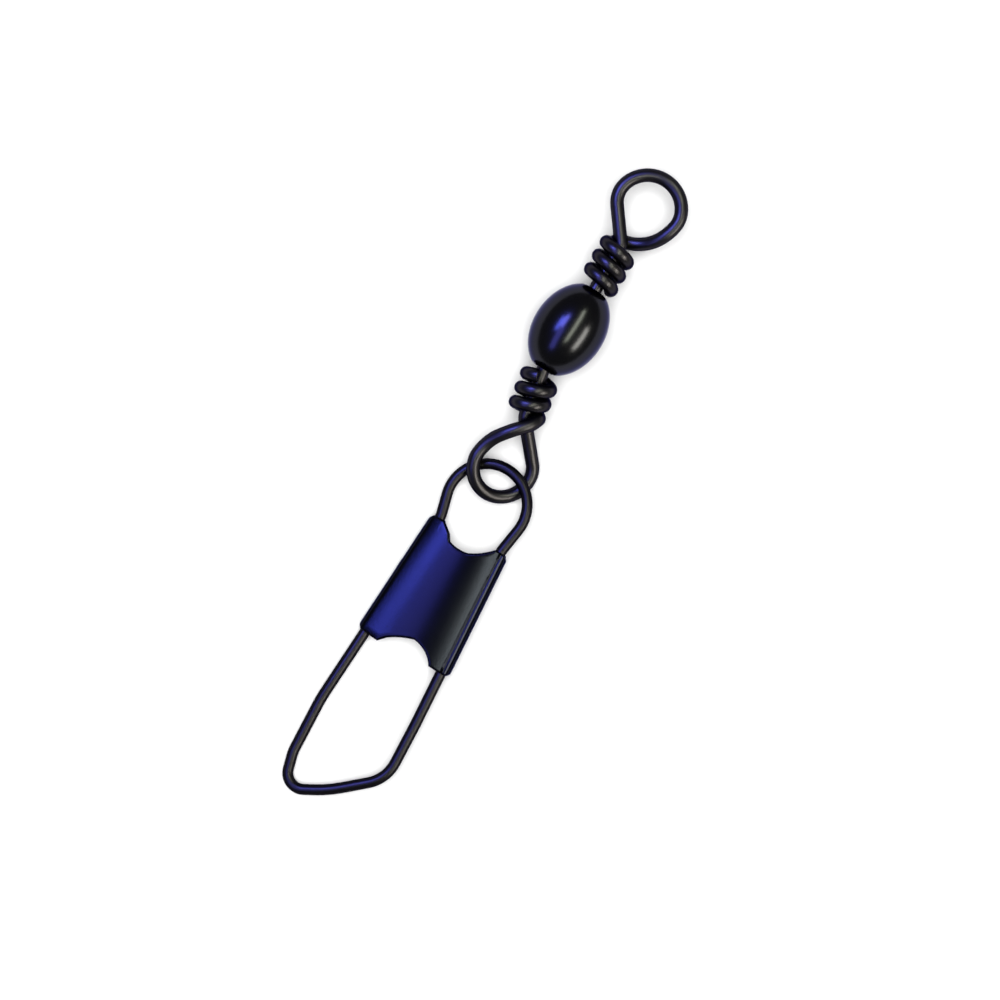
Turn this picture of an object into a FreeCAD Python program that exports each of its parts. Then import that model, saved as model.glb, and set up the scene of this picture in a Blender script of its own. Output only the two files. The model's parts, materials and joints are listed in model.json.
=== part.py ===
# Fishing snap swivel: a barrel swivel carrying a sheathed safety snap, all sizes in millimetres.
# It is modelled lying on its back as it comes to rest: X runs along the barrel to the line eye, Z is up.
import FreeCAD, Part
import math
import os
from FreeCAD import Placement, Rotation, Vector

# Wires, sheet and fits
swivel_wire = 0.93
snap_wire = 0.75
sheet_thickness = 0.22
hole_clearance = 0.10
channel_clearance = 0.03
wrap_clearance = 0.03
crossing_clearance = 0.10
link_clearance = 0.08
wire_end_gap = 0.20
punch_overrun = 1.00

# Barrel
barrel_length = 6.38
barrel_diameter = 4.93
barrel_end_diameter = 1.60
barrel_wall = 0.45
barrel_lip_radius = 0.12

# Upset heads that hold both eyes in the barrel
head_diameter = 1.60
head_thickness = 0.60
head_setback = 0.28
head_edge_radius = 0.15
head_room = 0.22

# Wraps and necks of both eyes: the last wrap stands just off the barrel, the neck bends past the first.
# The cut end of the snap eye carries on a little further, down beside the barrel's rounded end
wrap_standoff = 0.04
wrap_gap = 0.12
wrap_first_angle = -30
wrap_end_angle = 925.0
snap_wrap_tail_angle = 35.0
neck_radius = 0.90

# Rings of the eyes, to the wire's centre: rise from the first wrap, offset from the shank, half the
# width, how much flatter the nose is, and how far its flanks are bent from off the middle. Then how
# far past the first wrap the shank is bent and the returning wire crosses it, and that wire's bow
line_ring_rise = 3.53
line_ring_offset = -0.32
line_ring_half_width = 2.24
line_ring_flatness = 0.17
line_flank_offset = 0.50
line_neck_rise = 0.32
line_crossing_rise = 0.66
line_leg_bow = 68.0
snap_ring_rise = 4.02
snap_ring_offset = -0.115
snap_ring_half_width = 2.13
snap_ring_flatness = 0.04
snap_flank_offset = 0.50
snap_neck_rise = 0.28
snap_crossing_rise = 0.67
snap_leg_bow = 42.0

# Clasp: spacing of its two channels at either end, crown, how far its laps reach round the wire, and
# the crease pressed along the top of the right roll, just outside the middle of its wire
clasp_length = 9.20
clasp_loop_gap = 4.79
clasp_tail_gap = 5.93
clasp_crown = 0.34
crimp_length = 3.90
crimp_slit = 0.30
roll_lap_angle = 255.0
gutter_lip = 0.42
crease_radius = 0.16
crease_depth = 0.05
crease_outset = 0.14

# Cut ends of the clasp, both scooped: stock beyond the cut, clipped outer corners, and points on the
# edge, each by its depth from the clasp's end and its distance left of the middle
end_trim = 0.30
end_corner = 0.20
loop_left_margin = 0.445
loop_nick_depth = 0.58
loop_nick_left = 1.18
loop_step_depth = 1.02
loop_step_left = 0.88
loop_floor_depth = 1.17
loop_floor_left = 0.05
loop_bend_depth = 1.10
loop_bend_left = -0.62
loop_flank_depth = 0.62
loop_flank_left = -1.42
loop_right_margin = 0.295
tail_tongue_reach = 0.13
tail_tongue_left = 1.88
tail_step_depth = 0.38
tail_step_left = 1.39
tail_slope_depth = 0.82
tail_slope_left = 0.64
tail_floor_depth = 1.20
tail_floor_left = -0.35
tail_flank_depth = 0.97
tail_flank_left = -1.18
tail_foot_depth = 0.13
tail_foot_left = -2.09
tail_right_trim = 0.07

# Loop of the snap wire above the clasp
loop_rise = 2.34
loop_offset = 0.08
loop_radius = 2.79
loop_mouth_radius = 1.60
loop_mouth_rise = 0.12
loop_end_cover = 0.25

# Arm of the snap wire below the clasp, from the right leg round to the tip. Each corner is given by
# its drop past the clasp's tail and how far it lies outside the channel there
arm_right_bow_drop = 3.72
arm_right_corner_drop = 7.95
arm_right_corner_out = 0.39
arm_right_radius = 2.64
arm_foot_drop = 10.62
arm_foot_in = 2.71
arm_foot_radius = 9.00
arm_nose_drop = 12.09
arm_nose_in = 0.48
arm_nose_radius = 1.12
arm_shoulder_drop = 9.57
arm_shoulder_out = 0.18
arm_shoulder_radius = 2.00
arm_left_bow_drop = 5.49
arm_bow_radius = 9.00
arm_tip_setback = 0.55
arm_tip_round = 0.15

# How it lies: both eyes lean in their loose holes. The snap eye's ring and the loop cross each
# other twice, over and under, with their centres this far inside each other's rims
line_eye_lean = 3.3
eye_lean_across = 12.05
eye_lean_down = 9.30
link_half_span = 1.87
link_overlap = 2.14
link_turn = 9.47
link_drop = 0.175
snap_turn = 3.67
snap_pitch = 0.86
snap_roll = 8.05

swivel_radius = swivel_wire / 2
snap_radius = snap_wire / 2
barrel_radius = barrel_diameter / 2
barrel_half = barrel_length / 2
hole_radius = swivel_radius + hole_clearance
hole_middle = barrel_half - barrel_wall / 2
head_back = -barrel_wall / 2 - head_setback - head_thickness
wrap_radius = swivel_wire + wrap_clearance
wrap_pitch = swivel_wire + wrap_gap
wrap_start = barrel_wall / 2 + wrap_standoff + swivel_radius + wrap_pitch * wrap_end_angle / 360
channel_radius = snap_radius + channel_clearance
roll_radius = channel_radius + sheet_thickness
clasp_half = clasp_length / 2
crimp_start = clasp_half - crimp_length
gutter_end = crimp_start - crimp_slit


# Paths of bent wire, as straight runs and arcs that meet tangent

def arc_leaving(start, heading, end):
    """The arc from start to end that sets off along heading."""
    chord = end - start
    turn = heading.cross(chord)
    if turn.Length < 1e-7:
        return Part.LineSegment(start, end).toShape()
    inward = Vector(turn).cross(heading).normalize()
    radius = chord.dot(chord) / (2 * chord.dot(inward))
    centre = start + inward * radius
    half_angle = math.atan2(turn.Length, heading.dot(chord))
    halfway = Rotation(turn, math.degrees(half_angle)).multVec(start - centre)
    return Part.Arc(start, centre + halfway, end).toShape()


def blend(start, heading, end, end_heading):
    """Two arcs in space that join start to end and keep both headings."""
    chord = end - start
    both = heading + end_heading
    a = 2 * (1 - heading.dot(end_heading))
    b = 2 * chord.dot(both)
    c = -chord.dot(chord)
    reach = -c / b if a < 1e-9 else (math.sqrt(b * b - 4 * a * c) - b) / (2 * a)
    first_corner = start + heading * reach
    second_corner = end - end_heading * reach
    middle = (first_corner + second_corner) * 0.5
    middle_heading = (second_corner - first_corner).normalize()
    return [arc_leaving(start, heading, middle), arc_leaving(middle, middle_heading, end)]


def bent_run(points, radii):
    """A run through points whose inner corners are rounded to radii."""
    edges = []
    last = points[0]
    for before, corner, after, radius in zip(points, points[1:], points[2:], radii):
        back = (before - corner).normalize()
        ahead = (after - corner).normalize()
        half_turn = (math.pi - back.getAngle(ahead)) / 2
        setback = radius * math.tan(half_turn)
        entry = corner + back * setback
        leave = corner + ahead * setback
        edges.append(Part.LineSegment(last, entry).toShape())
        edges.append(arc_leaving(entry, back * -1, leave))
        last = leave
    edges.append(Part.LineSegment(last, points[-1]).toShape())
    return edges


def tangent_point(outside, centre, radius, side):
    """Where the line from outside touches a circle in the XY plane, on its left (1) or right (-1)."""
    towards = centre - outside
    swing = math.degrees(math.asin(radius / towards.Length)) * side
    reach = math.sqrt(towards.Length ** 2 - radius ** 2)
    return outside + Rotation(Vector(0, 0, 1), swing).multVec(towards).normalize() * reach


def drawn_wire(edges, radius):
    """Round wire of one radius swept along a path."""
    path = Part.Wire(edges)
    start = path.Edges[0].valueAt(path.Edges[0].FirstParameter)
    heading = path.Edges[0].tangentAt(path.Edges[0].FirstParameter)
    section = Part.Wire(Part.Circle(start, heading, radius).toShape())
    return path.makePipe(Part.Face(section))


# Swivel eyes: head, shank, ring and wraps, each eye bent from one wire

def wrap_point(angle, hand):
    turn = math.radians(angle)
    along = wrap_start - wrap_pitch * angle / 360
    return Vector(along, wrap_radius * math.cos(turn), -hand * wrap_radius * math.sin(turn))


def wrap_heading(angle, hand):
    turn = math.radians(angle)
    forward = -wrap_pitch / (2 * math.pi)
    across = -wrap_radius * math.sin(turn)
    return Vector(forward, across, -hand * wrap_radius * math.cos(turn)).normalize()


def arc_about(centre, start, end):
    """The shorter arc about centre from start to end."""
    outward = (start - centre).normalize() + (end - centre).normalize()
    return Part.Arc(start, centre + outward.normalize() * (start - centre).Length, end).toShape()


def ring_arcs(centre, half_width, flatness, flank_offset):
    """Centres and radii of a ring's left flank, nose and right flank."""
    flank_radius = half_width - flank_offset
    setback = flatness * (2 * flank_offset - flatness) / (2 * (flank_offset - flatness))
    left = centre + Vector(0, flank_offset, 0)
    right = centre - Vector(0, flank_offset, 0)
    return left, right, flank_radius, centre - Vector(setback, 0, 0), half_width - flatness + setback


def eye_path(centre, ring, neck_rise, crossing_rise, leg_bow, hand, end_angle):
    """Path of one eye with the barrel's hole at the origin and the shank along +X. The ring is
    three arcs, and the wire comes home from it in a gentle bow."""
    left, right, flank_radius, nose, nose_radius = ring_arcs(centre, *ring)
    head_end = Vector(head_back, 0, 0)
    neck = Vector(wrap_start + neck_rise, 0, 0)
    on_shank = Vector(wrap_start + crossing_rise, 0, 0)
    crossing = on_shank + Vector(0, 0, hand * (swivel_wire + crossing_clearance))
    ring_in = tangent_point(neck, left, flank_radius, 1)
    nose_in = nose + (left - nose).normalize() * nose_radius
    nose_out = nose + (right - nose).normalize() * nose_radius
    half_bow = math.radians(leg_bow / 2)
    touch = tangent_point(on_shank, right, flank_radius * math.cos(half_bow), -1)
    homeward = (on_shank - touch).normalize()
    ring_out = touch - homeward * flank_radius * math.sin(half_bow)
    leaving = Rotation(Vector(0, 0, 1), leg_bow / 2).multVec(homeward)
    arriving = Rotation(Vector(0, 0, 1), -leg_bow / 2).multVec(homeward)
    edges = bent_run([head_end, neck, ring_in], [neck_radius])
    edges.append(arc_about(left, ring_in, nose_in))
    edges.append(Part.Arc(nose_in, nose + Vector(nose_radius, 0, 0), nose_out).toShape())
    edges.append(arc_about(right, nose_out, ring_out))
    edges += blend(ring_out, leaving, crossing, arriving)
    angle = wrap_first_angle
    edges += blend(crossing, arriving, wrap_point(angle, hand), wrap_heading(angle, hand))
    steps = math.ceil((end_angle - angle) / 60)
    step = (end_angle - angle) / steps
    for _ in range(steps):
        ahead = angle + step
        edges += blend(wrap_point(angle, hand), wrap_heading(angle, hand),
                       wrap_point(ahead, hand), wrap_heading(ahead, hand))
        angle = ahead
    return edges


def swivel_eye(path):
    wire = drawn_wire(path, swivel_radius)
    back = Vector(head_back, 0, 0)
    head = Part.makeCylinder(head_diameter / 2, head_thickness, back, Vector(1, 0, 0))
    rims = [edge for edge in head.Edges if isinstance(edge.Curve, Part.Circle)]
    head = head.makeFillet(head_edge_radius, rims)
    return wire.fuse(head).removeSplitter().Solids[0]


# Barrel: one hollow turned shell, swaged shut over both heads

def half_oval(length, radius, end_radius):
    """Half ellipse over the X axis, cut square where it narrows to end_radius at +-length / 2."""
    half_axis = length / 2 / math.sqrt(1 - (end_radius / radius) ** 2)
    if half_axis > radius:
        oval = Part.Ellipse(Vector(0, 0, 0), half_axis, radius)
        start = math.asin(end_radius / radius)
        return Part.ArcOfEllipse(oval, start, math.pi - start).toShape()
    crown = Vector(0, radius, 0)
    return Part.Arc(Vector(length / 2, end_radius, 0), crown, Vector(-length / 2, end_radius, 0)).toShape()


def turned(outline):
    return Part.Face(Part.Wire(outline)).revolve(Vector(0, 0, 0), Vector(1, 0, 0), 360)


def barrel():
    end_radius = barrel_end_diameter / 2
    right = Vector(barrel_half, end_radius, 0)
    left = Vector(-barrel_half, end_radius, 0)
    axis_right = Vector(barrel_half, 0, 0)
    axis_left = Vector(-barrel_half, 0, 0)
    body = turned([half_oval(barrel_length, barrel_radius, end_radius),
                   Part.LineSegment(left, axis_left).toShape(),
                   Part.LineSegment(axis_left, axis_right).toShape(),
                   Part.LineSegment(axis_right, right).toShape()])
    rims = [edge for edge in body.Edges
            if isinstance(edge.Curve, Part.Circle) and abs(edge.Curve.Radius - end_radius) < 1e-3]
    body = body.makeFillet(barrel_lip_radius, rims)
    inner_length = barrel_length - 2 * barrel_wall
    inner_end = head_diameter / 2 + head_room
    inner_right = Vector(inner_length / 2, inner_end, 0)
    inner_left = Vector(-inner_length / 2, inner_end, 0)
    foot_right = Vector(inner_length / 2, 0, 0)
    foot_left = Vector(-inner_length / 2, 0, 0)
    cavity = turned([half_oval(inner_length, barrel_radius - barrel_wall, inner_end),
                     Part.LineSegment(inner_left, foot_left).toShape(),
                     Part.LineSegment(foot_left, foot_right).toShape(),
                     Part.LineSegment(foot_right, inner_right).toShape()])
    hole = Part.makeCylinder(hole_radius, barrel_length, axis_left, Vector(1, 0, 0))
    return body.cut(cavity).cut(hole).Solids[0]


# Clasp: one stamped plate, crowned in front, its long edges rolled back round the snap wire

def channel_point(x, side):
    """A point on the line of the left (1) or right (-1) channel."""
    share = (x + clasp_half) / clasp_length
    gap = clasp_tail_gap + (clasp_loop_gap - clasp_tail_gap) * share
    return Vector(x, side * gap / 2, 0)


def between(shape, tail_x, loop_x):
    """Keep only the length of shape from tail_x to loop_x."""
    room = 4 * clasp_tail_gap
    slab = Part.makeBox(loop_x - tail_x, room, room, Vector(tail_x, -room / 2, -room / 2))
    return shape.common(slab)


def along_channel(outline, side):
    """Extrude an outline, drawn in (across, up) about the wire's centre, along one channel."""
    tail = channel_point(-clasp_length, side)
    loop = channel_point(clasp_length, side)
    corners = [Vector(0, side * across, up) for across, up in outline]
    face = Part.Face(Part.makePolygon(corners + corners[:1]))
    return place_along(face, tail, loop)


def place_along(face, tail, loop):
    run = loop - tail
    turn = Rotation(Vector(1, 0, 0), run)
    face.Placement = Placement(tail, turn).multiply(face.Placement)
    return face.extrude(run)


def curl(side, from_angle, to_angle):
    """Part of the rolled edge. Angles run from the top, over the outer side and down."""
    def at(radius, angle):
        turn = math.radians(angle)
        return Vector(0, side * radius * math.sin(turn), radius * math.cos(turn))
    middle = (from_angle + to_angle) / 2
    outer = Part.Arc(at(roll_radius, from_angle), at(roll_radius, middle), at(roll_radius, to_angle))
    inner = Part.Arc(at(channel_radius, to_angle), at(channel_radius, middle), at(channel_radius, from_angle))
    ends = [Part.LineSegment(at(roll_radius, to_angle), at(channel_radius, to_angle)),
            Part.LineSegment(at(channel_radius, from_angle), at(roll_radius, from_angle))]
    face = Part.Face(Part.Wire([outer.toShape(), ends[0].toShape(), inner.toShape(), ends[1].toShape()]))
    return place_along(face, channel_point(-clasp_length, side), channel_point(clasp_length, side))


def plate_outline(x):
    """Section of the crowned plate at x, tangent to both rolls."""
    half_gap = channel_point(x, 1).y
    sink = (half_gap ** 2 - clasp_crown ** 2) / (2 * clasp_crown)
    outer = roll_radius + clasp_crown + sink
    reach = half_gap / (outer - roll_radius)
    lift = sink / (outer - roll_radius)
    corners = []
    for radius, side in ((outer, 1), (outer, -1), (outer - sheet_thickness, -1), (outer - sheet_thickness, 1)):
        corners.append(Vector(x, side * radius * reach, radius * lift - sink))
    crown = Vector(x, 0, outer - sink)
    belly = Vector(x, 0, outer - sheet_thickness - sink)
    return Part.Wire([Part.Arc(corners[0], crown, corners[1]).toShape(),
                      Part.LineSegment(corners[1], corners[2]).toShape(),
                      Part.Arc(corners[2], belly, corners[3]).toShape(),
                      Part.LineSegment(corners[3], corners[0]).toShape()])


def punch(edges):
    """A cutter through the whole thickness of the clasp."""
    depth = 4 * (roll_radius + clasp_crown)
    face = Part.Face(Part.Wire(edges))
    face.translate(Vector(0, 0, -depth / 2))
    return face.extrude(Vector(0, 0, depth))


def straight_runs(points):
    return [Part.LineSegment(start, end).toShape() for start, end in zip(points, points[1:])]


def from_loop_end(depth, left):
    """A point on the clasp by its depth from the end towards the loop and its distance left."""
    return Vector(clasp_half - depth, left, 0)


def from_tail_end(depth, left):
    """The same from the end towards the tail."""
    return Vector(depth - clasp_half, left, 0)


def end_punch(from_end, gap, left_run, arcs, right_trim):
    """Cuts one end: outer corners clipped, straight runs from the left, arcs, straight on the right."""
    side = gap / 2 + roll_radius
    beyond = end_corner + punch_overrun
    wide = side + punch_overrun
    start = from_end(beyond, wide)
    edges = straight_runs([start, from_end(0, side - end_corner)] + left_run)
    last = left_run[-1]
    for through, end in arcs:
        edges.append(Part.Arc(last, through, end).toShape())
        last = end
    edges += straight_runs([last,
                            from_end(right_trim, end_corner - side),
                            from_end(right_trim + beyond, -wide),
                            from_end(-beyond, -wide),
                            from_end(-beyond, wide),
                            start])
    return punch(edges)


def loop_end_punch():
    """Scoop towards the loop, with the small step that the stamping leaves on its left."""
    left_run = [from_loop_end(0, clasp_loop_gap / 2 - loop_left_margin),
                from_loop_end(loop_nick_depth, loop_nick_left),
                from_loop_end(loop_step_depth, loop_step_left)]
    arcs = [(from_loop_end(loop_floor_depth, loop_floor_left), from_loop_end(loop_bend_depth, loop_bend_left)),
            (from_loop_end(loop_flank_depth, loop_flank_left),
             from_loop_end(0, loop_right_margin - clasp_loop_gap / 2))]
    return end_punch(from_loop_end, clasp_loop_gap, left_run, arcs, 0)


def tail_end_punch():
    """Scoop towards the tail, deepest right of the middle, with a short tongue on its left."""
    left_run = [from_tail_end(-tail_tongue_reach, tail_tongue_left), from_tail_end(tail_step_depth, tail_step_left)]
    arcs = [(from_tail_end(tail_slope_depth, tail_slope_left), from_tail_end(tail_floor_depth, tail_floor_left)),
            (from_tail_end(tail_flank_depth, tail_flank_left), from_tail_end(tail_foot_depth, tail_foot_left))]
    return end_punch(from_tail_end, clasp_tail_gap, left_run, arcs, tail_right_trim)


def clasp():
    tail = -clasp_half - end_trim
    loop = clasp_half + end_trim
    plate = Part.makeLoft([plate_outline(tail), plate_outline(loop)], True, True)
    right_roll = between(curl(-1, 0, roll_lap_angle), tail, loop)
    crimp = between(curl(1, 0, roll_lap_angle), crimp_start, loop)
    gutter = between(curl(1, 0, 90), tail, loop)
    lip = along_channel([(channel_radius, 0), (roll_radius, 0), (roll_radius, -gutter_lip),
                         (channel_radius, -gutter_lip)], 1)
    lip = between(lip, tail, gutter_end)
    sheet = plate.fuse([right_roll, crimp, gutter, lip])
    crease_reach = roll_radius + crease_radius - crease_depth
    crease_height = math.sqrt(crease_reach ** 2 - crease_outset ** 2)
    crease = Part.makeCylinder(crease_radius, 2 * clasp_length)
    crease.rotate(Vector(0, 0, 0), Vector(0, 1, 0), 90)
    run = channel_point(clasp_length, -1) - channel_point(-clasp_length, -1)
    crease.Placement = Placement(channel_point(-clasp_length, -1) + Vector(0, -crease_outset, crease_height),
                                 Rotation(Vector(1, 0, 0), run)).multiply(crease.Placement)
    return sheet.cut([loop_end_punch(), tail_end_punch(), crease]).removeSplitter().Solids[0]


# Snap wire: the loop that is crimped in the clasp, and the arm that springs open

def snap_loop_path():
    left_end = channel_point(crimp_start + loop_end_cover, 1)
    left_mouth = channel_point(clasp_half + loop_mouth_rise, 1)
    right_mouth = channel_point(clasp_half + loop_mouth_rise, -1)
    right_end = channel_point(wire_end_gap / 2, -1)
    loop_in = tangent_point(left_mouth, loop_centre, loop_radius, 1)
    loop_out = tangent_point(right_mouth, loop_centre, loop_radius, -1)
    apex = loop_centre + Vector(loop_radius, 0, 0)
    edges = bent_run([left_end, left_mouth, loop_in], [loop_mouth_radius])
    edges.append(Part.Arc(loop_in, apex, loop_out).toShape())
    edges += bent_run([loop_out, right_mouth, right_end], [loop_mouth_radius])
    return edges


def arm_corner(drop, outside, side):
    return Vector(-clasp_half - drop, side * (clasp_tail_gap / 2 + outside), 0)


def snap_arm_path():
    corners = [channel_point(-wire_end_gap / 2, -1),
               channel_point(-clasp_half - arm_right_bow_drop, -1),
               arm_corner(arm_right_corner_drop, arm_right_corner_out, -1),
               arm_corner(arm_foot_drop, -arm_foot_in, -1),
               arm_corner(arm_nose_drop, -arm_nose_in, 1),
               arm_corner(arm_shoulder_drop, arm_shoulder_out, 1),
               channel_point(-clasp_half - arm_left_bow_drop, 1),
               arm_tip]
    radii = [arm_bow_radius, arm_right_radius, arm_foot_radius, arm_nose_radius, arm_shoulder_radius,
             arm_bow_radius]
    return bent_run(corners, radii)


def snap_arm():
    arm = drawn_wire(snap_arm_path(), snap_radius)
    rim = [edge for edge in arm.Edges
           if isinstance(edge.Curve, Part.Circle) and edge.Curve.Center.distanceToPoint(arm_tip) < 1e-4
           and abs(edge.Curve.Radius - snap_radius) < 1e-4]
    return arm.makeFillet(arm_tip_round, rim).Solids[0]


# Ring and loop centres, each in its own piece's frame, and the paths of both eyes

line_ring_centre = Vector(wrap_start + line_ring_rise, line_ring_offset, 0)
snap_ring_centre = Vector(wrap_start + snap_ring_rise, snap_ring_offset, 0)
loop_centre = Vector(clasp_half + loop_rise, loop_offset, 0)
arm_tip = channel_point(gutter_end - arm_tip_setback, 1)
line_ring = (line_ring_half_width, line_ring_flatness, line_flank_offset)
snap_ring = (snap_ring_half_width, snap_ring_flatness, snap_flank_offset)
line_eye_path = eye_path(line_ring_centre, line_ring, line_neck_rise, line_crossing_rise, line_leg_bow, -1,
                         wrap_end_angle)
snap_eye_path = eye_path(snap_ring_centre, snap_ring, snap_neck_rise, snap_crossing_rise, snap_leg_bow, 1,
                         wrap_end_angle + snap_wrap_tail_angle)


# Where each piece lies

def turned_by(*turns):
    """Rotations in degrees about moving axes, one after the other."""
    rotation = Rotation()
    for axis, angle in turns:
        rotation = rotation.multiply(Rotation(axis, angle))
    return rotation


x_axis = Vector(1, 0, 0)
y_axis = Vector(0, 1, 0)
z_axis = Vector(0, 0, 1)
barrel_place = Placement(Vector(0, 0, barrel_radius), Rotation())
line_eye_place = Placement(Vector(hole_middle, 0, barrel_radius), Rotation(z_axis, line_eye_lean))
crossing_rise = (swivel_radius + snap_radius + link_clearance) / link_half_span
eye_roll = math.degrees(math.asin(crossing_rise)) - snap_roll
eye_lie = turned_by((z_axis, 180 + eye_lean_across), (y_axis, eye_lean_down), (x_axis, -eye_roll))
snap_eye_place = Placement(Vector(-hole_middle, 0, barrel_radius), eye_lie)
link_reach = snap_ring_half_width + loop_radius - link_overlap
link_heading = Rotation(z_axis, 180 + link_turn).multVec(x_axis)
loop_lies_at = snap_eye_place.multVec(snap_ring_centre) + link_heading * link_reach - z_axis * link_drop
snap_lie = turned_by((z_axis, snap_turn), (y_axis, -snap_pitch), (x_axis, -snap_roll))
snap_place = Placement(loop_lies_at - snap_lie.multVec(loop_centre), snap_lie)

pieces = {
    "barrel": (barrel(), barrel_place),
    "line_eye": (swivel_eye(line_eye_path), line_eye_place),
    "snap_eye": (swivel_eye(snap_eye_path), snap_eye_place),
    "clasp": (clasp(), snap_place),
    "snap_loop": (drawn_wire(snap_loop_path(), snap_radius), snap_place),
    "snap_arm": (snap_arm(), snap_place),
}

shapes = {}
for name, (shape, place) in pieces.items():
    shape.Placement = place.multiply(shape.Placement)
    shapes[name] = shape
whole = Part.makeCompound(list(shapes.values())).optimalBoundingBox(False)
origin_shift = Vector(-whole.Center.x, -whole.Center.y, -whole.ZMin)

os.makedirs("parts", exist_ok=True)
for name, shape in shapes.items():
    shape.translate(origin_shift)
    shape.exportStep("parts/" + name + ".step")
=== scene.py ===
import bmesh
import bpy
import json
import math
from mathutils import Matrix, Vector


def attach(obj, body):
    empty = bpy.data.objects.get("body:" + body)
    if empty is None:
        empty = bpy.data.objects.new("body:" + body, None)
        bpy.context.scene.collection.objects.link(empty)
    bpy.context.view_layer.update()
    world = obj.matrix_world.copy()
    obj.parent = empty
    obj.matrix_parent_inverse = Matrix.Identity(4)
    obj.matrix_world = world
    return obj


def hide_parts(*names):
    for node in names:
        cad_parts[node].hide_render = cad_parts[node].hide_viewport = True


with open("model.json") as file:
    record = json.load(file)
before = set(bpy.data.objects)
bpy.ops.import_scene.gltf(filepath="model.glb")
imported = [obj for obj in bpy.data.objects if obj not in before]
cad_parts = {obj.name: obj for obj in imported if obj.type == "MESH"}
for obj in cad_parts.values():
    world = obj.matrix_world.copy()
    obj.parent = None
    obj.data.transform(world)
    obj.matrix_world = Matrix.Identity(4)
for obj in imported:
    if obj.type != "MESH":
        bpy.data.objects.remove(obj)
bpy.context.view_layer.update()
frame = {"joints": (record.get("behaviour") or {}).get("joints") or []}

# Line eye: the open eye that the line is tied to, bent from one 0.93 mm wire. Its upset head sits
# inside the barrel, the shank runs out through the hole, round the ring, back behind itself and
# down the shank in three close wraps. All sizes in this file are in millimetres.
swivel_wire = 0.93
wrap_gap = 0.12
wrap_clearance = 0.03
crossing_clearance = 0.10
wrap_first_angle = -30.0
wrap_end_angle = 925.0
wrap_standoff = 0.04
neck_radius = 0.90
head_diameter = 1.60
head_thickness = 0.60
head_setback = 0.28
head_edge = 0.12
head_face = 0.001
barrel_wall = 0.45
line_ring_rise = 3.53
line_ring_offset = -0.32
line_ring_half_width = 2.24
line_ring_flatness = 0.17
line_neck_rise = 0.32
line_crossing_rise = 0.66
line_leg_bow = 68.0
line_eye_lean = 3.3
ring_flank_offset = 0.50
cut_edge = 0.05
die_line_scale = 9.0
die_line_stretch = 0.06
tint_patch_scale = 0.5
wire_grain_scale = 22.0
wire_grain_height = 0.00002
wrap_radius = swivel_wire + wrap_clearance
wrap_pitch = swivel_wire + wrap_gap
wrap_start = barrel_wall / 2 + wrap_standoff + swivel_wire / 2 + wrap_pitch * wrap_end_angle / 360


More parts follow.
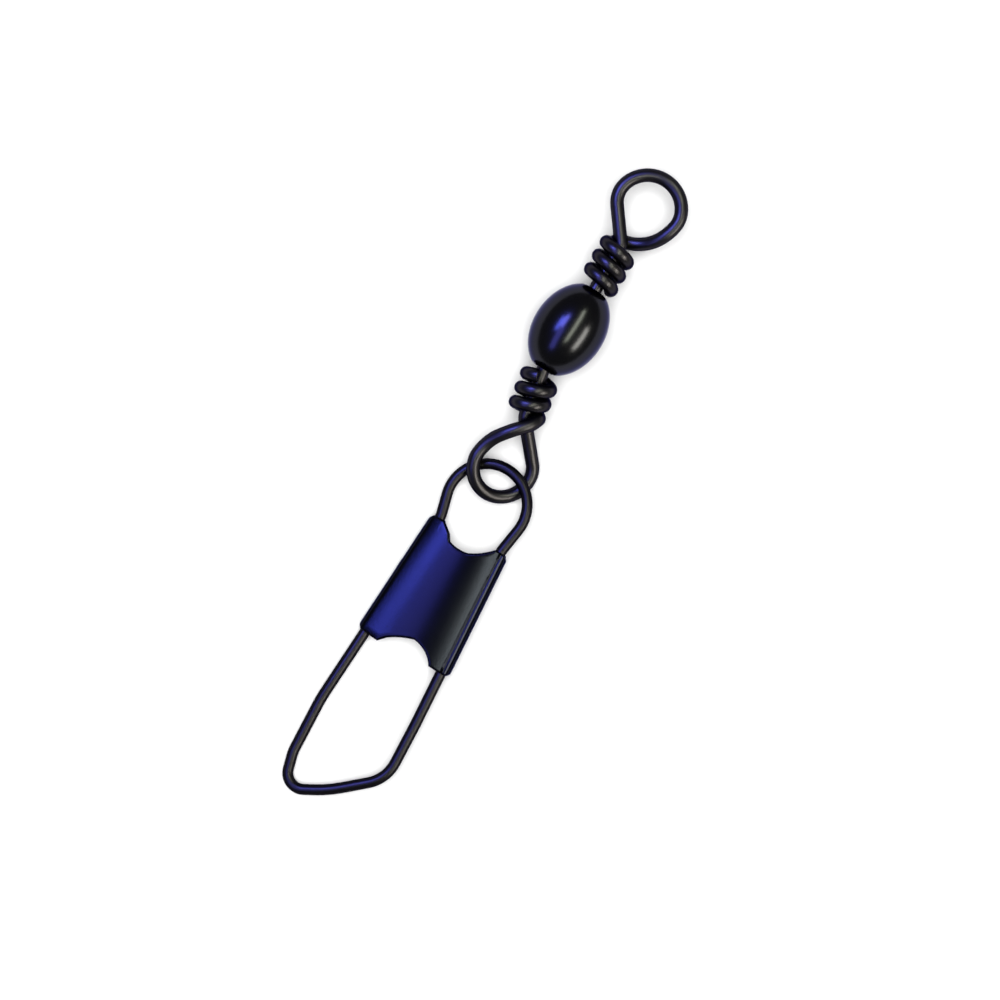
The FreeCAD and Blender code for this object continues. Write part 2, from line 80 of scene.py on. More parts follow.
class Wire:
    """Round wire drawn from its first end: each pull or bend carries its open end on."""

    def __init__(self, start, heading, radius, sides=32):
        self.bm = bmesh.new()
        self.drawn = self.bm.verts.layers.float_vector.new("drawn")
        self.at = Vector(start)
        self.heading = Vector(heading).normalized()
        self.length = 0.0
        turn = self.heading.to_track_quat("Z", "Y").to_matrix().to_4x4()
        bmesh.ops.create_circle(self.bm, segments=sides, radius=radius,
                                matrix=Matrix.Translation(self.at) @ turn)
        for number, vert in enumerate(self.bm.verts):
            angle = 2 * math.pi * number / sides
            vert[self.drawn] = (radius * math.cos(angle), radius * math.sin(angle), 0)
        self.open_end = list(self.bm.edges)
        bmesh.ops.edgeloop_fill(self.bm, edges=self.open_end)

    def end_verts(self):
        return list({vert for edge in self.open_end for vert in edge.verts})

    def mark_length(self, step):
        self.length += step
        for vert in self.end_verts():
            vert[self.drawn] = (*vert[self.drawn].xy, self.length)

    def pull(self, distance, scale=1.0):
        """Straight on, with the end made thinner or thicker by scale."""
        made = bmesh.ops.extrude_edge_only(self.bm, edges=self.open_end)["geom"]
        self.open_end = [part for part in made if isinstance(part, bmesh.types.BMEdge) and part.is_boundary]
        verts = self.end_verts()
        bmesh.ops.translate(self.bm, verts=verts, vec=self.heading * distance)
        self.at = self.at + self.heading * distance
        about = Matrix.Translation(-self.at)
        bmesh.ops.scale(self.bm, verts=verts, vec=(scale, scale, scale), space=about)
        self.mark_length(abs(distance))

    def turn(self, centre, axis, angle, rise=0.0, fineness=math.radians(6)):
        """Round centre by angle, with rise along the axis for a helix."""
        steps = max(2, math.ceil(abs(angle) / fineness))
        sweep = math.hypot((self.at - centre).length * angle, rise) / steps
        climb = axis * (rise / steps)
        for _ in range(steps):
            made = bmesh.ops.spin(self.bm, geom=self.open_end, cent=centre, axis=axis, dvec=climb,
                                  angle=angle / steps, steps=1)["geom_last"]
            self.open_end = [part for part in made if isinstance(part, bmesh.types.BMEdge)]
            self.mark_length(sweep)
        swing = Matrix.Rotation(angle, 3, axis)
        self.at = centre + swing @ (self.at - centre) + axis * rise
        self.heading = swing @ self.heading

    def bend_to(self, end):
        """One arc from here to end that keeps the heading."""
        chord = end - self.at
        normal = self.heading.cross(chord)
        if normal.length < 1e-6:
            self.pull(chord.length)
            return
        inward = normal.cross(self.heading).normalized()
        radius = chord.length_squared / (2 * chord.dot(inward))
        angle = 2 * math.atan2(normal.length, self.heading.dot(chord))
        self.turn(self.at + inward * radius, normal.normalized(), angle)

    def blend_to(self, end, end_heading):
        """Two arcs that reach end on its own heading."""
        chord = end - self.at
        both = self.heading + end_heading
        a = 2 * (1 - self.heading.dot(end_heading))
        b = 2 * chord.dot(both)
        c = -chord.dot(chord)
        reach = -c / b if a < 1e-7 else (math.sqrt(b * b - 4 * a * c) - b) / (2 * a)
        self.bend_to((self.at + self.heading * reach + end - end_heading * reach) / 2)
        self.bend_to(end)

    def run_through(self, corners, radii):
        """Straight to each corner in turn, rounding it, and on to the last one."""
        for corner, after, radius in zip(corners, corners[1:], radii):
            ahead = (after - corner).normalized()
            setback = radius * math.tan(self.heading.angle(ahead) / 2)
            self.pull((corner - self.at).length - setback)
            self.bend_to(corner + ahead * setback)
        self.pull((corners[-1] - self.at).length)

    def cut_off(self, edge):
        """Close the end, with its cut edge just broken."""
        bmesh.ops.edgeloop_fill(self.bm, edges=self.open_end)
        bmesh.ops.bevel(self.bm, geom=self.open_end, offset=edge, affect="EDGES", segments=3,
                        profile=0.5, material=-1)


def finished(bm, name, place, smooth_below=35):
    """The piece's object, with its place in its mesh: place turns millimetres into the row frame."""
    bmesh.ops.recalc_face_normals(bm, faces=bm.faces)
    bmesh.ops.transform(bm, matrix=Matrix.Scale(0.001, 4) @ place, verts=bm.verts)
    mesh = bpy.data.meshes.new(name)
    for face in bm.faces:
        face.smooth = True
    bm.to_mesh(mesh)
    bm.free()
    mesh.set_sharp_from_angle(angle=math.radians(smooth_below))
    piece = bpy.data.objects.new(name, mesh)
    bpy.context.scene.collection.objects.link(piece)
    return piece


def touching(start, centre, radius, side):
    """Where the line from start touches a circle in the wire's plane, on its left (1) or right (-1)."""
    towards = centre - start
    swing = Matrix.Rotation(side * math.asin(radius / towards.length), 3, "Z")
    return start + (swing @ towards).normalized() * math.sqrt(towards.length_squared - radius ** 2)


def turned(*turns):
    """Turns in degrees about moving axes, one after the other."""
    matrix = Matrix.Identity(4)
    for axis, angle in turns:
        matrix = matrix @ Matrix.Rotation(math.radians(angle), 4, axis)
    return matrix


def upset_head(wire):
    """The head that the shank is drawn from, with its rims rounded."""
    shank = swivel_wire / head_diameter
    rim = 1 - 2 * head_edge / head_diameter
    wire.pull(head_edge, 1 / rim)
    wire.pull(head_thickness - 2 * head_edge)
    wire.pull(head_edge, rim)
    wire.pull(head_face, shank / rim)


def ring_round(wire, centre, half_width, flatness, ring_out):
    """Left flank, nose and right flank of a ring, three arcs that meet tangent. Flatness is how much
    the nose falls short of a half circle."""
    offset = Vector((0, ring_flank_offset, 0))
    setback = flatness * (2 * ring_flank_offset - flatness) / (2 * (ring_flank_offset - flatness))
    nose = centre - Vector((setback, 0, 0))
    nose_radius = half_width - flatness + setback
    wire.bend_to(nose + (centre + offset - nose).normalized() * nose_radius)
    wire.bend_to(nose + (centre - offset - nose).normalized() * nose_radius)
    wire.bend_to(ring_out)


def swivel_eye(name, place, centre, half_width, flatness, neck_rise, crossing_rise, leg_bow, hand, end_angle):
    """A whole eye from head to cut end, along +X from the middle of the barrel's wall. A hand of 1
    carries the homeward leg over the shank, -1 under it."""
    head_back = -barrel_wall / 2 - head_setback - head_thickness
    wire = Wire((head_back, 0, 0), (1, 0, 0), head_diameter / 2 - head_edge)
    upset_head(wire)
    neck = Vector((wrap_start + neck_rise, 0, 0))
    flank_radius = half_width - ring_flank_offset
    left = centre + Vector((0, ring_flank_offset, 0))
    right = centre - Vector((0, ring_flank_offset, 0))
    wire.run_through([neck, touching(neck, left, flank_radius, 1)], [neck_radius])
    on_shank = Vector((wrap_start + crossing_rise, 0, 0))
    half_bow = math.radians(leg_bow / 2)
    touch = touching(on_shank, right, flank_radius * math.cos(half_bow), -1)
    homeward = (on_shank - touch).normalized()
    ring_round(wire, centre, half_width, flatness, touch - homeward * flank_radius * math.sin(half_bow))
    arriving = Matrix.Rotation(-half_bow, 3, "Z") @ homeward
    wire.blend_to(on_shank + Vector((0, 0, hand * (swivel_wire + crossing_clearance))), arriving)
    first = math.radians(wrap_first_angle)
    first_wrap = Vector((wrap_start - wrap_pitch * wrap_first_angle / 360,
                         wrap_radius * math.cos(first), -hand * wrap_radius * math.sin(first)))
    wrap_heading = Vector((-wrap_pitch / (2 * math.pi), -wrap_radius * math.sin(first),
                           -hand * wrap_radius * math.cos(first)))
    wire.blend_to(first_wrap, wrap_heading.normalized())
    wrapped = end_angle - wrap_first_angle
    wire.turn(Vector((wire.at.x, 0, 0)), Vector((-hand, 0, 0)), math.radians(wrapped),
              rise=hand * wrap_pitch * wrapped / 360)
    wire.cut_off(cut_edge)
    return finished(wire.bm, name, place)


class Socket:
    """An output of a shader node. Sums and products of it add Math nodes."""

    def __init__(self, finish, output):
        self.finish = finish
        self.output = output

    def math(self, operation, first, second):
        return self.finish.node("ShaderNodeMath", "Value", {"operation": operation}, {0: first, 1: second})

    def __add__(self, other):
        return self.math("ADD", self, other)

    def __mul__(self, other):
        return self.math("MULTIPLY", self, other)

    __radd__ = __add__
    __rmul__ = __mul__


class Finish:
    """One material. Every node but the Math nodes comes from the method node."""

    def __init__(self, name):
        self.material = bpy.data.materials.new(name)
        self.material.use_nodes = True
        self.tree = self.material.node_tree
        self.tree.nodes.clear()

    def node(self, kind, output, settings=None, sockets=None):
        made = self.tree.nodes.new(kind)
        for setting, value in (settings or {}).items():
            setattr(made, setting, value)
        for name, value in (sockets or {}).items():
            if isinstance(value, Socket):
                self.tree.links.new(value.output, made.inputs[name])
            else:
                made.inputs[name].default_value = value
        return Socket(self, made.outputs[output] if made.outputs else None)

    def noise(self, where, scale, detail=2.0, roughness=0.5):
        return self.node("ShaderNodeTexNoise", "Fac", None,
                         {"Vector": where, "Scale": scale, "Detail": detail, "Roughness": roughness})

    def mix(self, share, first, second):
        return self.node("ShaderNodeMix", 2, {"data_type": "RGBA"}, {0: share, 6: first, 7: second})

    def metal(self, sockets):
        """A plated surface. Its specular tint is the colour that it takes where it turns away."""
        surface = self.node("ShaderNodeBsdfPrincipled", "BSDF", None, {"Metallic": 1.0, **sockets})
        self.node("ShaderNodeOutputMaterial", 0, None, {"Surface": surface})

    def dress(self, *pieces):
        for piece in pieces:
            piece.data.materials.clear()
            piece.data.materials.append(self.material)


def black_nickel_wire(name, deep, warm):
    """Plated wire: faint die lines along its length, a skin that shifts between two dark tints."""
    finish = Finish(name)
    drawn = finish.node("ShaderNodeAttribute", "Vector", {"attribute_name": "drawn"})
    along = finish.node("ShaderNodeMapping", "Vector", None,
                        {"Vector": drawn, "Scale": (1, 1, die_line_stretch)})
    lines = finish.noise(along, die_line_scale, detail=4.0)
    patches = finish.noise(drawn, tint_patch_scale)
    grain = finish.noise(drawn, wire_grain_scale, detail=3.0)
    bump = finish.node("ShaderNodeBump", "Normal", None,
                       {"Height": lines * 0.7 + grain * 0.3, "Strength": 0.25, "Distance": wire_grain_height})
    finish.metal({"Base Color": finish.mix(patches, (*deep, 1), (*warm, 1)),
                  "Roughness": lines * 0.10 + 0.28, "Specular Tint": (0.3, 0.3, 0.4, 1), "Normal": bump})
    return finish


joints = {joint["name"]: joint for joint in frame["joints"]}
line_hole = Vector(joints["line_eye_spin"]["pos_m"]) * 1000
line_eye = swivel_eye("line_eye_wire", Matrix.Translation(line_hole) @ turned(("Z", line_eye_lean)),
                      Vector((wrap_start + line_ring_rise, line_ring_offset, 0)),
                      line_ring_half_width, line_ring_flatness, line_neck_rise, line_crossing_rise,
                      line_leg_bow, -1, wrap_end_angle)
swivel_finish = black_nickel_wire("swivel_wire", (0.024, 0.0225, 0.0255), (0.033, 0.0308, 0.034))
swivel_finish.dress(line_eye)
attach(line_eye, "upper_eye")
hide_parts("line_eye")

# Snap eye: the same wire and the same bends at the barrel's other end, with wraps of the opposite
# hand and a cut end that carries on beside the barrel. It leans in its loose hole towards the snap
# that hangs on its ring.
snap_ring_rise = 4.02
snap_ring_offset = -0.115
snap_ring_half_width = 2.13
snap_ring_flatness = 0.04
snap_neck_rise = 0.28
snap_crossing_rise = 0.67
snap_leg_bow = 42.0
snap_wrap_tail_angle = 35.0
eye_lean_across = 12.05
eye_lean_down = 9.30
snap_roll = 8.05
link_clearance = 0.08
link_half_span = 1.87
snap_wire = 0.75

crossing_slope = math.asin((swivel_wire / 2 + snap_wire / 2 + link_clearance) / link_half_span)
eye_roll = math.degrees(crossing_slope) - snap_roll
snap_hole = Vector(joints["eye_spin"]["pos_m"]) * 1000
eye_lie = turned(("Z", 180 + eye_lean_across), ("Y", eye_lean_down), ("X", -eye_roll))
snap_eye = swivel_eye("snap_eye_wire", Matrix.Translation(snap_hole) @ eye_lie,
                      Vector((wrap_start + snap_ring_rise, snap_ring_offset, 0)),
                      snap_ring_half_width, snap_ring_flatness, snap_neck_rise, snap_crossing_rise,
                      snap_leg_bow, 1, wrap_end_angle + snap_wrap_tail_angle)
swivel_finish.dress(snap_eye)
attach(snap_eye, "lower_eye")
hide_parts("snap_eye")

# Barrel: one hollow turned shell with its ends swaged shut over both heads, polished and plated
# black. Its wall is a closed profile spun round the barrel's own axis.
barrel_length = 6.38
barrel_diameter = 4.93
barrel_end_diameter = 1.60
barrel_lip = 0.12
hole_clearance = 0.10
hole_edge = 0.06
head_room = 0.22
lip_angles = (30, 50, 70, 90)
barrel_sides = 160
outside_steps = 48
inside_steps = 24
merge_distance = 0.0005
barrel_deep = (0.018, 0.018, 0.022, 1)
barrel_light = (0.024, 0.024, 0.027, 1)
barrel_edge = (0.55, 0.55, 0.75, 1)
lathe_ring_scale = (9000, 60, 60)
lathe_ring_height = 0.00001


def oval_point(length, radius, end_radius, share):
    """A point on a half oval from its left end (share 0) to its right end (share 1)."""
    half_axis = length / 2 / math.sqrt(1 - (end_radius / radius) ** 2)
    start = math.asin(end_radius / radius)
    angle = math.pi - start - share * (math.pi - 2 * start)
    return Vector((half_axis * math.cos(angle), radius * math.sin(angle), 0))


def barrel_profile():
    """Round the wall: along the outside, over the lip and back along the inside."""
    end = barrel_length / 2
    end_radius = barrel_end_diameter / 2
    hole = swivel_wire / 2 + hole_clearance
    outside = [oval_point(barrel_length, barrel_diameter / 2, end_radius, step / outside_steps)
               for step in range(1, outside_steps)]
    lip = [Vector((end - barrel_lip * (1 - math.sin(angle)),
                   end_radius - barrel_lip * (1 - math.cos(angle)), 0))
           for angle in map(math.radians, lip_angles)]
    lip += [Vector((end, hole + hole_edge, 0)),
            Vector((end - hole_edge, hole, 0)),
            Vector((end - barrel_wall, hole, 0))]
    inner_length = barrel_length - 2 * barrel_wall
    inner_end = head_diameter / 2 + head_room
    inside = [oval_point(inner_length, barrel_diameter / 2 - barrel_wall, inner_end, step / inside_steps)
              for step in range(inside_steps + 1)]
    mirrored = [Vector((-point.x, point.y, 0)) for point in reversed(lip)]
    return mirrored + outside + lip + list(reversed(inside))


bm = bmesh.new()
rim = [bm.verts.new(point) for point in barrel_profile()]
loop = [bm.edges.new(pair) for pair in zip(rim, rim[1:] + rim[:1])]
bmesh.ops.spin(bm, geom=loop, cent=(0, 0, 0), axis=(1, 0, 0), angle=2 * math.pi, steps=barrel_sides,
               use_merge=True)
bmesh.ops.remove_doubles(bm, verts=bm.verts, dist=merge_distance)
barrel = finished(bm, "barrel_shell", Matrix.Translation((line_hole + snap_hole) / 2))
barrel_finish = Finish("barrel_plate")
place = barrel_finish.node("ShaderNodeTexCoord", "Object")
lathe = barrel_finish.node("ShaderNodeMapping", "Vector", None, {"Vector": place, "Scale": lathe_ring_scale})
rings = barrel_finish.noise(lathe, 1.0, detail=3.0)
spots = barrel_finish.noise(place, 420.0, detail=3.0)
relief = barrel_finish.node("ShaderNodeBump", "Normal", None,
                            {"Height": rings, "Strength": 0.12, "Distance": lathe_ring_height})
barrel_finish.metal({"Base Color": barrel_finish.mix(spots, barrel_deep, barrel_light),
                     "Roughness": spots * 0.06 + 0.18, "Specular Tint": barrel_edge, "Normal": relief})
barrel_finish.dress(barrel)
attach(barrel, "barrel")
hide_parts("barrel")

# Clasp: one sheet of 0.22 mm steel, blanked with a scoop at either end, crowned, and rolled back
# over the snap wire. The right edge is rolled all along, the left one is crimped shut on the
# loop's end and left open at the back of the tail half, where the arm clips in.
sheet = 0.22
channel_clearance = 0.03
clasp_length = 9.20
clasp_loop_gap = 4.79
clasp_tail_gap = 5.93
clasp_crown = 0.34
crimp_length = 3.90
crimp_slit = 0.30
roll_lap_angle = 255.0
gutter_lip = 0.42
crease_radius = 0.16
crease_depth = 0.05
end_corner = 0.20
end_zone = 1.60
rim_round = 0.17
loop_corners = [(0, 1.95), (0.58, 1.18), (1.02, 0.88), (1.10, -0.62), (0, -2.10)]
loop_scoop_through = (1.17, 0.05)
loop_shoulder_through = (0.62, -1.42)
tail_corners = [(-0.13, 1.88), (0.38, 1.39), (1.20, -0.35), (0.13, -2.09)]
tail_scoop_through = (0.82, 0.64)
tail_shoulder_through = (0.97, -1.18)
tail_right_trim = 0.07
clasp_deep = (0.0083, 0.0088, 0.0145, 1)
clasp_light = (0.0092, 0.0098, 0.0135, 1)
clasp_edge = (0.4, 0.4, 0.55, 1)
pebble_height = 0.00002
snap_turn = 3.67
snap_pitch = 0.86
clasp_half = clasp_length / 2
roll_radius = snap_wire / 2 + channel_clearance + sheet
crimp_start = clasp_half - crimp_length
gutter_end = crimp_start - crimp_slit

snap_lie = turned(("Z", snap_turn), ("Y", -snap_pitch), ("X", -snap_roll))
roll_at = Vector(joints["snap_opening"]["pos_m"]) * 1000
middle_gap = (clasp_loop_gap + clasp_tail_gap) / 2
snap_place = Matrix.Translation(roll_at + snap_lie @ Vector((0, middle_gap / 2, 0))) @ snap_lie


def channel_point(x, side):
    """A point on the line of the left (1) or right (-1) channel."""
    gap = clasp_tail_gap + (clasp_loop_gap - clasp_tail_gap) * (x + clasp_half) / clasp_length
    return Vector((x, side * gap / 2, 0))


def arc_points(first, middle, last, steps=12):
    """Points after first on the arc through three points."""
    (ax, ay), (bx, by), (cx, cy) = first, middle, last
    d = 2 * (ax * (by - cy) + bx * (cy - ay) + cx * (ay - by))
    a, b, c = ax * ax + ay * ay, bx * bx + by * by, cx * cx + cy * cy
    ox = (a * (by - cy) + b * (cy - ay) + c * (ay - by)) / d
    oy = (a * (cx - bx) + b * (ax - cx) + c * (bx - ax)) / d
    radius = math.hypot(ax - ox, ay - oy)
    start = math.atan2(ay - oy, ax - ox)
    sweep = math.remainder(math.atan2(cy - oy, cx - ox) - start, 2 * math.pi)
    angles = [start + sweep * step / steps for step in range(1, steps + 1)]
    return [(ox + radius * math.cos(angle), oy + radius * math.sin(angle)) for angle in angles]


def cut_outline(gap, corners, scoop_through, shoulder_through, right_trim=0.0, overrun=1.0):
    """One end's cut edge from left to right, as points given by depth and distance left. The scoop
    and the right shoulder are arcs to the last two corners. It overruns either side."""
    side = gap / 2 + roll_radius
    edge = [(end_corner + overrun, side + overrun), (0, side - end_corner)] + corners[:-2]
    for through, end in zip((scoop_through, shoulder_through), corners[-2:]):
        edge += arc_points(edge[-1], through, end)
    return edge + [(right_trim, end_corner - side), (right_trim + end_corner + overrun, -side - overrun)]


loop_outline = cut_outline(clasp_loop_gap, loop_corners, loop_scoop_through, loop_shoulder_through)
tail_outline = cut_outline(clasp_tail_gap, tail_corners, tail_scoop_through, tail_shoulder_through,
                           right_trim=tail_right_trim)


def cut_depth(outline, y):
    """How deep an end is cut at distance y left of the middle."""
    for (depth, left), (next_depth, right) in zip(outline, outline[1:]):
        if right <= y <= left:
            return depth + (next_depth - depth) * (left - y) / max(left - right, 1e-6)
    return 0.0


def crown_at(x):
    """Radius, sink and edge angle of the crowned plate at x."""
    half_gap = channel_point(x, 1).y
    sink = (half_gap ** 2 - clasp_crown ** 2) / (2 * clasp_crown)
    radius = roll_radius + clasp_crown + sink
    return radius, sink, math.asin(half_gap / (radius - roll_radius))


def rolled(x, across):
    """Where the outside of the blank lies once it is rolled. across is -1 to 1 over the plate, past
    that the share of the lap over either roll."""
    radius, sink, tilt = crown_at(x)
    if abs(across) <= 1:
        return Vector((x, radius * math.sin(tilt * across), radius * math.cos(tilt * across) - sink))
    half_gap = channel_point(x, 1).y
    side = 1 if across > 0 else -1
    angle = tilt + (math.radians(roll_lap_angle) - tilt) * (abs(across) - 1)
    if side > 0 and x < crimp_start - crimp_slit / 2 and angle > math.pi / 2:
        return Vector((x, half_gap + roll_radius, -roll_radius * (angle - math.pi / 2)))
    return Vector((x, side * (half_gap + roll_radius * math.sin(angle)), roll_radius * math.cos(angle)))


def across_at(corner, end):
    """The share across the plate of a corner of one end's outline."""
    depth, left = corner
    radius, _, tilt = crown_at(end * (clasp_half - depth))
    return math.asin(left / radius) / tilt


def cut_at(outline, end, across):
    """Depth of one end's cut along the line of one share across."""
    depth = 0.0
    for _ in range(3):
        depth = cut_depth(outline, rolled(end * (clasp_half - depth), across).y)
    return depth


def crease_sink(x, across):
    """Depth of the crease pressed in where the plate runs into the right roll."""
    radius, _, tilt = crown_at(x)
    if across > -1:
        from_crease = (across + 1) * radius * tilt
    else:
        from_crease = (across + 1) * roll_radius * (math.radians(roll_lap_angle) - tilt)
    if abs(from_crease) >= crease_radius:
        return 0.0
    return max(0.0, crease_depth - crease_radius + math.sqrt(crease_radius ** 2 - from_crease ** 2))


plate_steps = 60
roll_steps = 36
crease_steps = 8
crease_span = 0.045
column_room = 0.009
slit_top = -0.02
corner_shares = [across_at(corner, 1) for corner in loop_corners]
corner_shares += [across_at(corner, -1) for corner in tail_corners]
lip_share = 1 + (math.pi / 2 + gutter_lip / roll_radius - crown_at(-clasp_half)[2]) / (
    math.radians(roll_lap_angle) - crown_at(-clasp_half)[2])
crease_shares = [-1 - crease_span + 2 * crease_span * step / crease_steps for step in range(crease_steps + 1)]
even_shares = [-2 + step / roll_steps for step in range(roll_steps)]
even_shares += [-1 + 2 * step / plate_steps for step in range(plate_steps + 1)]
even_shares += [1 + (step + 1) / roll_steps for step in range(roll_steps)]
kept_shares = corner_shares + crease_shares + [lip_share]
across_values = sorted(kept_shares + [share for share in even_shares
                                      if min(abs(share - kept) for kept in kept_shares) > column_room])
zone_rows = 3
tail_rows = 16
crimp_rows = 12
zone_start = clasp_half - end_zone
row_ends = [-clasp_half + end_zone * row / zone_rows for row in range(zone_rows)]
row_ends += [-zone_start + (gutter_end + zone_start) * row / tail_rows for row in range(tail_rows + 1)]
row_ends += [crimp_start + (zone_start - crimp_start) * row / crimp_rows for row in range(crimp_rows + 1)]
row_ends += [zone_start + end_zone * (row + 1) / zone_rows for row in range(zone_rows)]

bm = bmesh.new()
bmesh.ops.create_grid(bm, x_segments=len(row_ends) - 1, y_segments=len(across_values) - 1, size=1)
by_place = sorted(bm.verts, key=lambda vert: (round(vert.co.y, 5), round(vert.co.x, 5)))
cut_away = []
creased = {}
for column, across in enumerate(across_values):
    tail_cut = cut_at(tail_outline, -1, across)
    loop_cut = cut_at(loop_outline, 1, across)
    for row, flat_x in enumerate(row_ends):
        vert = by_place[column * len(row_ends) + row]
        x = flat_x
        if flat_x > zone_start:
            x = zone_start + (flat_x - zone_start) * (end_zone - loop_cut) / end_zone
        elif flat_x < -zone_start:
            x = -zone_start + (flat_x + zone_start) * (end_zone - tail_cut) / end_zone
        vert.co = rolled(x, across)
        sink = crease_sink(x, across)
        if sink > 0:
            creased[vert] = sink
        if across > lip_share and flat_x <= gutter_end:
            cut_away.append(vert)
bmesh.ops.delete(bm, geom=cut_away, context="VERTS")
middles = {face: face.calc_center_median() for face in bm.faces}
slit = [face for face, middle in middles.items()
        if gutter_end < middle.x < crimp_start and middle.y > 0 and middle.z < slit_top]
bmesh.ops.delete(bm, geom=slit, context="FACES")
bmesh.ops.recalc_face_normals(bm, faces=bm.faces)
if sum(face.normal.z for face in bm.faces if face.calc_center_median().z > 0) < 0:
    bmesh.ops.reverse_faces(bm, faces=bm.faces)
front = set(bm.verts)
bmesh.ops.solidify(bm, geom=bm.faces[:], thickness=sheet)
back = set(bm.verts) - front
for vert, sink in creased.items():
    vert.co -= vert.normal * sink
walls = {face for face in bm.faces if front.intersection(face.verts) and back.intersection(face.verts)}
front_rim = [edge for edge in bm.edges if front.issuperset(edge.verts) and walls.intersection(edge.link_faces)]
bmesh.ops.bevel(bm, geom=front_rim, offset=rim_round, affect="EDGES", segments=5, profile=0.5, material=-1)
bmesh.ops.remove_doubles(bm, verts=bm.verts, dist=merge_distance)
clasp = finished(bm, "clasp_sheet", snap_place)
clasp_finish = Finish("clasp_plate")
spot = clasp_finish.node("ShaderNodeTexCoord", "Object")
grain = clasp_finish.noise(spot, 9000.0, detail=3.0)
clouds = clasp_finish.noise(spot, 260.0, detail=3.0)
pebbles = clasp_finish.node("ShaderNodeBump", "Normal", None,
                            {"Height": grain, "Strength": 0.15, "Distance": pebble_height})
clasp_finish.metal({"Base Color": clasp_finish.mix(clouds, clasp_deep, clasp_light),
                    "Roughness": clouds * 0.06 + 0.17, "Specular Tint": clasp_edge, "Normal": pebbles})
clasp_finish.dress(clasp)
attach(clasp, "snap")
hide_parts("clasp")

# Loop of the snap: hard 0.75 mm spring wire that comes out of the crimp, spreads at the clasp's
# mouth, passes through the snap eye's ring and goes back into the right roll.
loop_rise = 2.34
loop_offset = 0.08
loop_radius = 2.79
loop_mouth_radius = 1.60
loop_mouth_rise = 0.12
loop_end_cover = 0.25
wire_end_gap = 0.20
loop_centre = Vector((clasp_half + loop_rise, loop_offset, 0))
loop_start = channel_point(crimp_start + loop_end_cover, 1)
left_mouth = channel_point(clasp_half + loop_mouth_rise, 1)
right_mouth = channel_point(clasp_half + loop_mouth_rise, -1)
loop_in = touching(left_mouth, loop_centre, loop_radius, 1)
loop_out = touching(right_mouth, loop_centre, loop_radius, -1)
wire = Wire(loop_start, left_mouth - loop_start, snap_wire / 2)
wire.run_through([left_mouth, loop_in], [loop_mouth_radius])
opening = (loop_in - loop_centre).angle(loop_out - loop_centre)
wire.turn(loop_centre, Vector((0, 0, -1)), 2 * math.pi - opening if loop_in.x < loop_centre.x else opening)
wire.run_through([right_mouth, channel_point(wire_end_gap / 2, -1)], [loop_mouth_radius])
wire.cut_off(cut_edge)
snap_loop = finished(wire.bm, "snap_loop_wire", snap_place)
spring_finish = black_nickel_wire("snap_wire", (0.0135, 0.0124, 0.0138), (0.0180, 0.0167, 0.0180))
spring_finish.dress(snap_loop)
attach(snap_loop, "snap")
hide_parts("snap_loop")

# Arm of the snap: the same wire below the clasp. It leaves the right roll, bows out, turns round
# the blunt nose and comes back up to rest in the clasp's open left gutter. Each corner is given by
# its drop past the clasp's tail and how far it lies outside the channel there.
arm_right_bow = 3.72
arm_right_corner = (7.95, 0.39)
arm_right_radius = 2.64
arm_foot_corner = (10.62, -2.71)
arm_foot_radius = 9.00
arm_nose_corner = (12.09, -0.48)
arm_nose_radius = 1.12
arm_shoulder_corner = (9.57, 0.18)
arm_shoulder_radius = 2.00
arm_left_bow = 5.49
arm_bow_radius = 9.00
arm_tip_setback = 0.55
arm_tip_round = 0.15


def arm_corner(corner, side):
    """Where a corner of the arm lies on the left (1) or right (-1)."""
    past_tail, outside = corner
    return Vector((-clasp_half - past_tail, side * (clasp_tail_gap / 2 + outside), 0))


arm_start = channel_point(-wire_end_gap / 2, -1)
arm_corners = [channel_point(-clasp_half - arm_right_bow, -1),
               arm_corner(arm_right_corner, -1),
               arm_corner(arm_foot_corner, -1),
               arm_corner(arm_nose_corner, 1),
               arm_corner(arm_shoulder_corner, 1),
               channel_point(-clasp_half - arm_left_bow, 1),
               channel_point(gutter_end - arm_tip_setback, 1)]
wire = Wire(arm_start, arm_corners[0] - arm_start, snap_wire / 2)
wire.run_through(arm_corners, [arm_bow_radius, arm_right_radius, arm_foot_radius, arm_nose_radius,
                               arm_shoulder_radius, arm_bow_radius])
wire.cut_off(arm_tip_round)
snap_arm = finished(wire.bm, "snap_arm_wire", snap_place)
spring_finish.dress(snap_arm)
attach(snap_arm, "arm")
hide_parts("snap_arm")

# Table, light and camera. The camera looks straight down on white paper. Cool softboxes on the left
# and two warm strips on the right show in the metal alone, and a lamp above lights the paper. Lamp
# distances are in metres.
floor_size = 1600
paper_white = (0.93, 0.93, 0.93, 1)
box_distance = 0.35
table_light_distance = 1.0
world_strength = 0.2
image_width = 67.7
lens = 150.0
axis_slope = 56.45
view_centre = Vector((-0.1569, -0.4797, 1.4986))

bm = bmesh.new()
bmesh.ops.create_grid(bm, x_segments=1, y_segments=1, size=floor_size / 2)
floor = finished(bm, "floor", Matrix.Identity(4))
floor_finish = Finish("table_paper")
paper = floor_finish.node("ShaderNodeBsdfPrincipled", "BSDF", None,
                          {"Base Color": paper_white, "Roughness": 1.0, "Specular IOR Level": 0.0})
floor_finish.node("ShaderNodeOutputMaterial", 0, None, {"Surface": paper})
floor_finish.dress(floor)


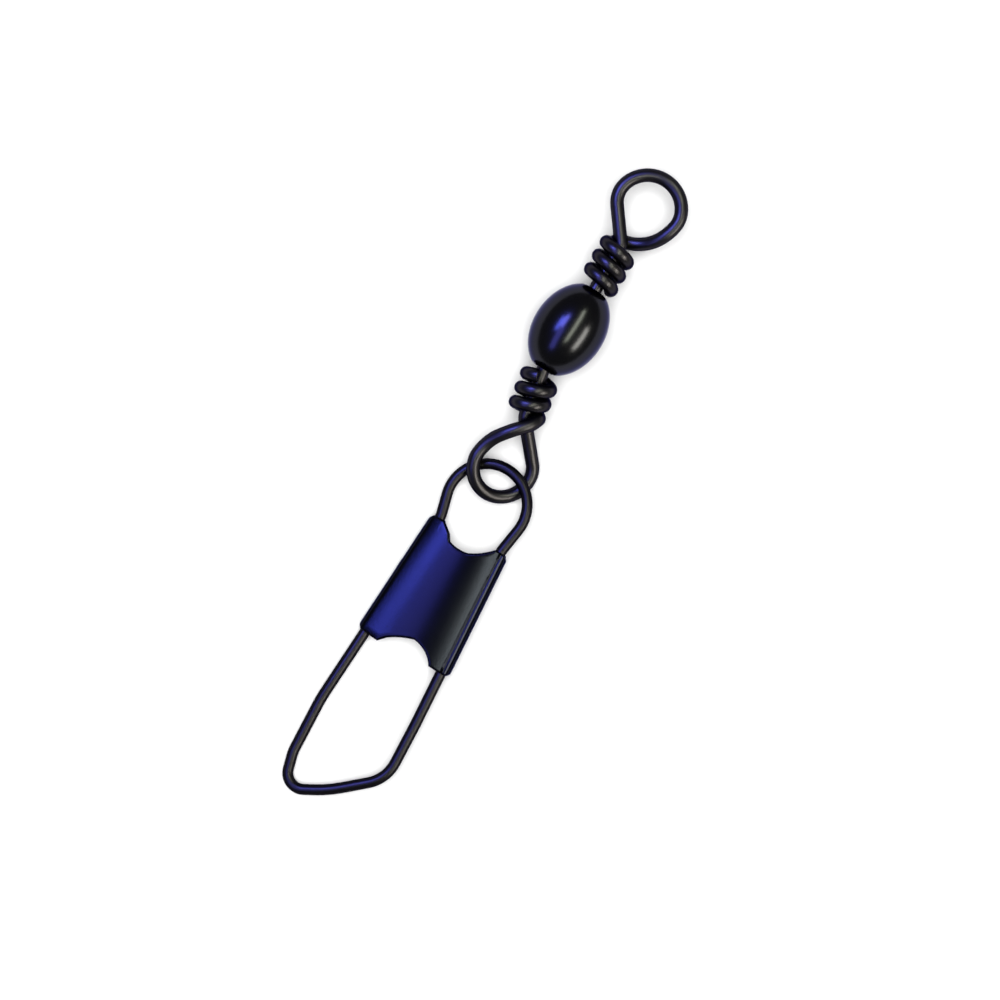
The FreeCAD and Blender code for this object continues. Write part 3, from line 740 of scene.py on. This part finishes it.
def softbox(name, left, along, length, width, strength, colour, distance=box_distance):
    """A box light round the object: its middle is so many degrees left of straight above and so
    many along the barrel, it spans length and width in degrees, and its strength is in watts."""
    light = bpy.data.lights.new(name, "AREA")
    light.shape = "RECTANGLE"
    light.size = 2 * distance * math.tan(math.radians(length / 2))
    light.size_y = 2 * distance * math.tan(math.radians(width / 2))
    light.energy = strength
    light.color = colour
    lamp = bpy.data.objects.new(name, light)
    bpy.context.scene.collection.objects.link(lamp)
    swing = Matrix.Rotation(math.radians(-left), 4, "X") @ Matrix.Rotation(math.radians(along), 4, "Y")
    lamp.matrix_world = swing @ Matrix.Translation((0, 0, distance))
    lamp.visible_diffuse = False
    return lamp


softbox("cool_box", 20, -22, 46, 16, 0.67, (0.20, 0.20, 1.0))
softbox("cool_outer", 35, 3, 24, 11, 0.98, (0.14, 0.17, 1.0))
softbox("cool_spot", 25, 11, 22, 11, 1.0, (0.20, 0.21, 1.0))
softbox("warm_strip", -12, 13, 64, 8, 1.05, (0.92, 0.98, 0.70))
softbox("low_strip", -50, 0, 40, 13, 1.1, (1.0, 0.98, 0.80))
table_light = softbox("table_light", 0, 0, 50, 50, 16.0, (1.0, 1.0, 1.0), distance=table_light_distance)
table_light.visible_diffuse = True
table_light.visible_glossy = False

world = bpy.data.worlds.new("studio")
bpy.context.scene.world = world
world.use_nodes = True
world.node_tree.nodes["Background"].inputs["Color"].default_value = (1, 1, 1, 1)
world.node_tree.nodes["Background"].inputs["Strength"].default_value = world_strength
bpy.context.scene.view_settings.view_transform = "Standard"

camera_data = bpy.data.cameras.new("camera")
camera_data.lens = lens
camera_data.sensor_width = 36.0
camera_data.clip_start = 0.01
camera_data.clip_end = 10.0
camera = bpy.data.objects.new("camera", camera_data)
bpy.context.scene.collection.objects.link(camera)
stand_off = image_width * lens / camera_data.sensor_width
camera.location = (view_centre + Vector((0, 0, stand_off))) / 1000
camera.rotation_euler = (0, 0, math.radians(-axis_slope))
bpy.context.scene.camera = camera
